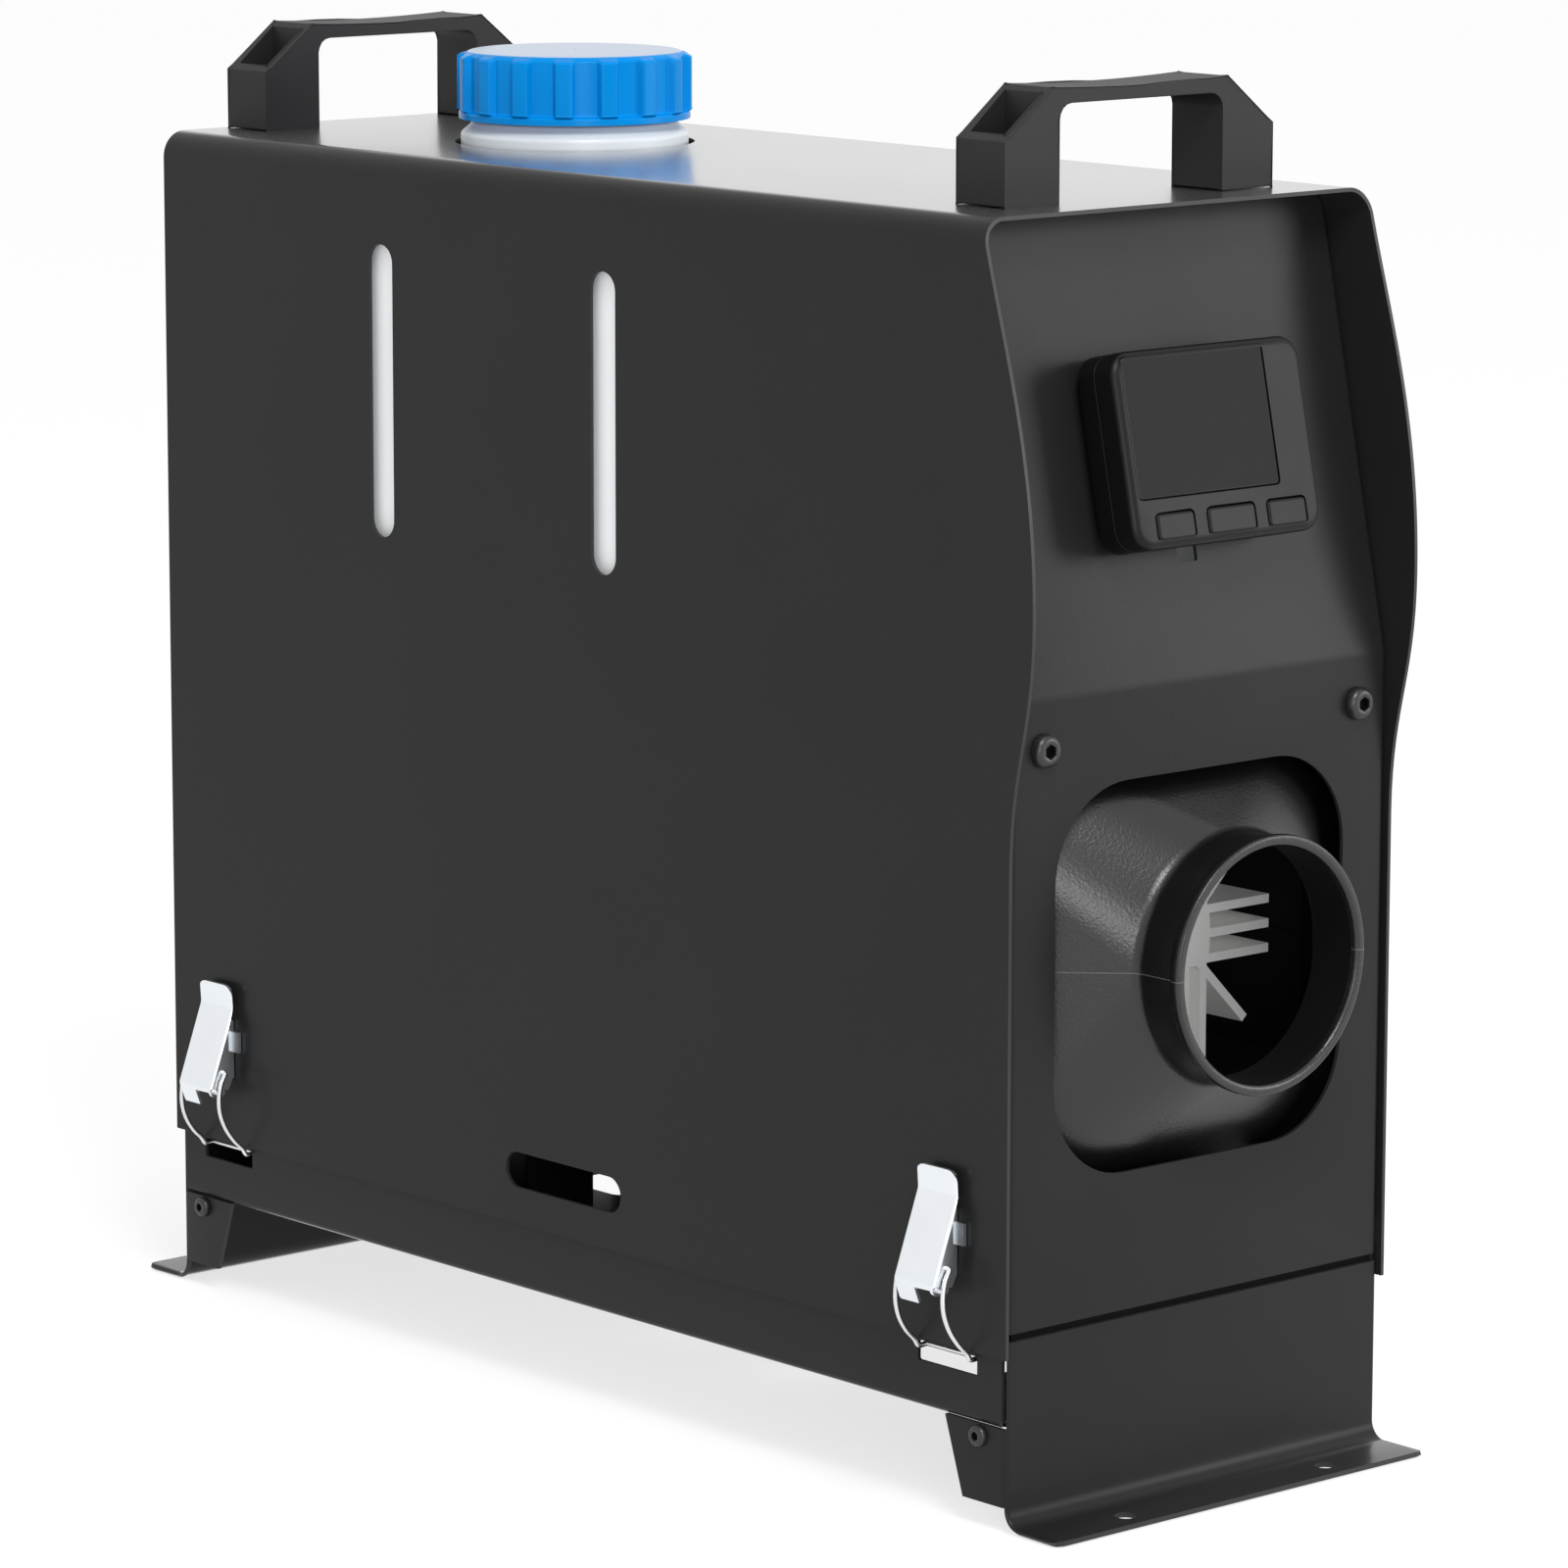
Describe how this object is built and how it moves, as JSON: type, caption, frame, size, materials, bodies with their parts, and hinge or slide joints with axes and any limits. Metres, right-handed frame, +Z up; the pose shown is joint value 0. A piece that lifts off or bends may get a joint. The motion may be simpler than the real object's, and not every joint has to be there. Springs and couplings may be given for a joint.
{
  "type": "portable diesel air heater",
  "caption": "Portable fuel-burning air heater in a sheet-metal case, with a tank on top, a round warm-air outlet, a screen controller, toggle latches, lifting handles and bracket feet.",
  "frame": {"origin": "middle of the case's width and of the whole length, on the plane of the feet's undersides", "axes": "+X towards the warm-air outlet, +Z up, +Y to the left seen from behind looking along +X"},
  "size_m": [0.4388, 0.1768, 0.4052],
  "materials": {
    "black_paint": "satin fine-textured powder coat",
    "black_plastic": "fine-grained moulding",
    "blue_plastic": "satin moulding",
    "milky_plastic": "translucent moulding",
    "zinc_plate": "bright zinc plating",
    "cast_aluminium": "as cast",
    "bare_steel": "plain",
    "dark_screw": "black oxide",
    "black_rubber": "matt",
    "smoked_window": "gloss",
    "circuit_board": "solder mask"
  },
  "bodies": {
    "case": {"cover": "black_paint", "base_tray": "black_paint", "front_foot": "black_paint", "rear_foot": "black_paint", "front_panel": "black_paint", "rear_panel": "black_paint", "cable_grommet": "black_rubber", "tank_shelf": "black_paint", "panel_screw_left": "dark_screw", "panel_screw_right": "dark_screw", "foot_screw_front_left": "dark_screw", "foot_screw_front_right": "dark_screw", "foot_screw_rear_left": "dark_screw", "foot_screw_rear_right": "dark_screw", "handle_front": "black_plastic", "handle_rear": "black_plastic", "fuel_tank": "milky_plastic", "neck_ring": "milky_plastic", "fuel_line_tank": "black_rubber", "fuel_filter": "milky_plastic", "fuel_line_filter": "black_rubber", "fuel_line_pump": "black_rubber", "fuel_pump": "bare_steel", "pump_mount": "black_rubber", "lower_casing": "black_plastic", "upper_casing": "black_plastic", "outlet_nozzle": "black_plastic", "inlet_grille": "black_plastic", "heat_exchanger": "cast_aluminium", "burner_tube": "bare_steel", "glow_plug": "bare_steel", "blower_housing": "cast_aluminium", "blower_motor": "bare_steel", "control_unit": "black_plastic", "heater_bracket": "black_paint", "controller_back": "black_plastic", "controller_front": "black_plastic", "lcd_window": "smoked_window", "controller_board": "circuit_board", "latch_base_front_left": "zinc_plate", "latch_base_front_right": "zinc_plate", "latch_base_rear_left": "zinc_plate", "latch_base_rear_right": "zinc_plate"},
    "cap_insert": {"cap_seal": "black_rubber"},
    "cap": {"tank_cap": "blue_plastic"},
    "rotor": {"motor_shaft": "bare_steel", "fan_wheel": "black_plastic", "combustion_impeller": "cast_aluminium"},
    "plunger": {"pump_plunger": "bare_steel"},
    "down_key": {"button_down": "black_plastic"},
    "power_key": {"button_power": "black_plastic"},
    "up_key": {"button_up": "black_plastic"},
    "lever_front_left": {"latch_lever_front_left": "zinc_plate"},
    "lever_front_right": {"latch_lever_front_right": "zinc_plate"},
    "lever_rear_left": {"latch_lever_rear_left": "zinc_plate"},
    "lever_rear_right": {"latch_lever_rear_right": "zinc_plate"},
    "bail_front_left": {"latch_bail_front_left": "bare_steel"},
    "bail_front_right": {"latch_bail_front_right": "bare_steel"},
    "bail_rear_left": {"latch_bail_rear_left": "bare_steel"},
    "bail_rear_right": {"latch_bail_rear_right": "bare_steel"}
  },
  "joints": [
    {"name": "cap_lift", "type": "slide", "parent": "case", "child": "cap_insert", "axis": [0, 0, 1], "range_m": [0, 0.008]},
    {"name": "cap_turn", "type": "hinge", "parent": "cap_insert", "child": "cap", "pos_m": [-0.0888, 0, 0.39], "axis": [0, 0, 1], "range_deg": [0, 720]},
    {"name": "rotor_spin", "type": "hinge", "parent": "case", "child": "rotor", "pos_m": [-0.1, 0, 0.1585], "axis": [1, 0, 0], "continuous": true},
    {"name": "pump_stroke", "type": "slide", "parent": "case", "child": "plunger", "axis": [1, 0, 0], "range_m": [0, 0.004], "stiffness_N_per_m": 300, "springref_m": -0.001},
    {"name": "down_press", "type": "slide", "parent": "case", "child": "down_key", "axis": [-0.9774, 0, -0.2113], "range_m": [0, 0.0008], "stiffness_N_per_m": 200, "springref_m": -0.001},
    {"name": "power_press", "type": "slide", "parent": "case", "child": "power_key", "axis": [-0.9774, 0, -0.2113], "range_m": [0, 0.0008], "stiffness_N_per_m": 200, "springref_m": -0.001},
    {"name": "up_press", "type": "slide", "parent": "case", "child": "up_key", "axis": [-0.9774, 0, -0.2113], "range_m": [0, 0.0008], "stiffness_N_per_m": 200, "springref_m": -0.001},
    {"name": "lever_front_left_swing", "type": "hinge", "parent": "case", "child": "lever_front_left", "pos_m": [0.16585, 0.0838, 0.0693], "axis": [-1, 0, 0], "range_deg": [0, 95]},
    {"name": "lever_front_right_swing", "type": "hinge", "parent": "case", "child": "lever_front_right", "pos_m": [0.16585, -0.0838, 0.0693], "axis": [1, 0, 0], "range_deg": [0, 95]},
    {"name": "lever_rear_left_swing", "type": "hinge", "parent": "case", "child": "lever_rear_left", "pos_m": [-0.17385, 0.0838, 0.0693], "axis": [-1, 0, 0], "range_deg": [0, 95]},
    {"name": "lever_rear_right_swing", "type": "hinge", "parent": "case", "child": "lever_rear_right", "pos_m": [-0.17385, -0.0838, 0.0693], "axis": [1, 0, 0], "range_deg": [0, 95]},
    {"name": "bail_front_left_swing", "type": "hinge", "parent": "lever_front_left", "child": "bail_front_left", "pos_m": [0.16585, 0.0832, 0.0755], "axis": [1, 0, 0], "range_deg": [0, 95]},
    {"name": "bail_front_right_swing", "type": "hinge", "parent": "lever_front_right", "child": "bail_front_right", "pos_m": [0.16585, -0.0832, 0.0755], "axis": [-1, 0, 0], "range_deg": [0, 95]},
    {"name": "bail_rear_left_swing", "type": "hinge", "parent": "lever_rear_left", "child": "bail_rear_left", "pos_m": [-0.17385, 0.0832, 0.0755], "axis": [1, 0, 0], "range_deg": [0, 95]},
    {"name": "bail_rear_right_swing", "type": "hinge", "parent": "lever_rear_right", "child": "bail_rear_right", "pos_m": [-0.17385, -0.0832, 0.0755], "axis": [-1, 0, 0], "range_deg": [0, 95]}
  ],
  "couplings": [
    {"joint": "cap_lift", "follows": "cap_turn", "m_per_rad": 0.0006366},
    {"joint": "bail_front_left_swing", "follows": "lever_front_left_swing", "ratio": 1},
    {"joint": "bail_front_right_swing", "follows": "lever_front_right_swing", "ratio": 1},
    {"joint": "bail_rear_left_swing", "follows": "lever_rear_left_swing", "ratio": 1},
    {"joint": "bail_rear_right_swing", "follows": "lever_rear_right_swing", "ratio": 1}
  ]
}
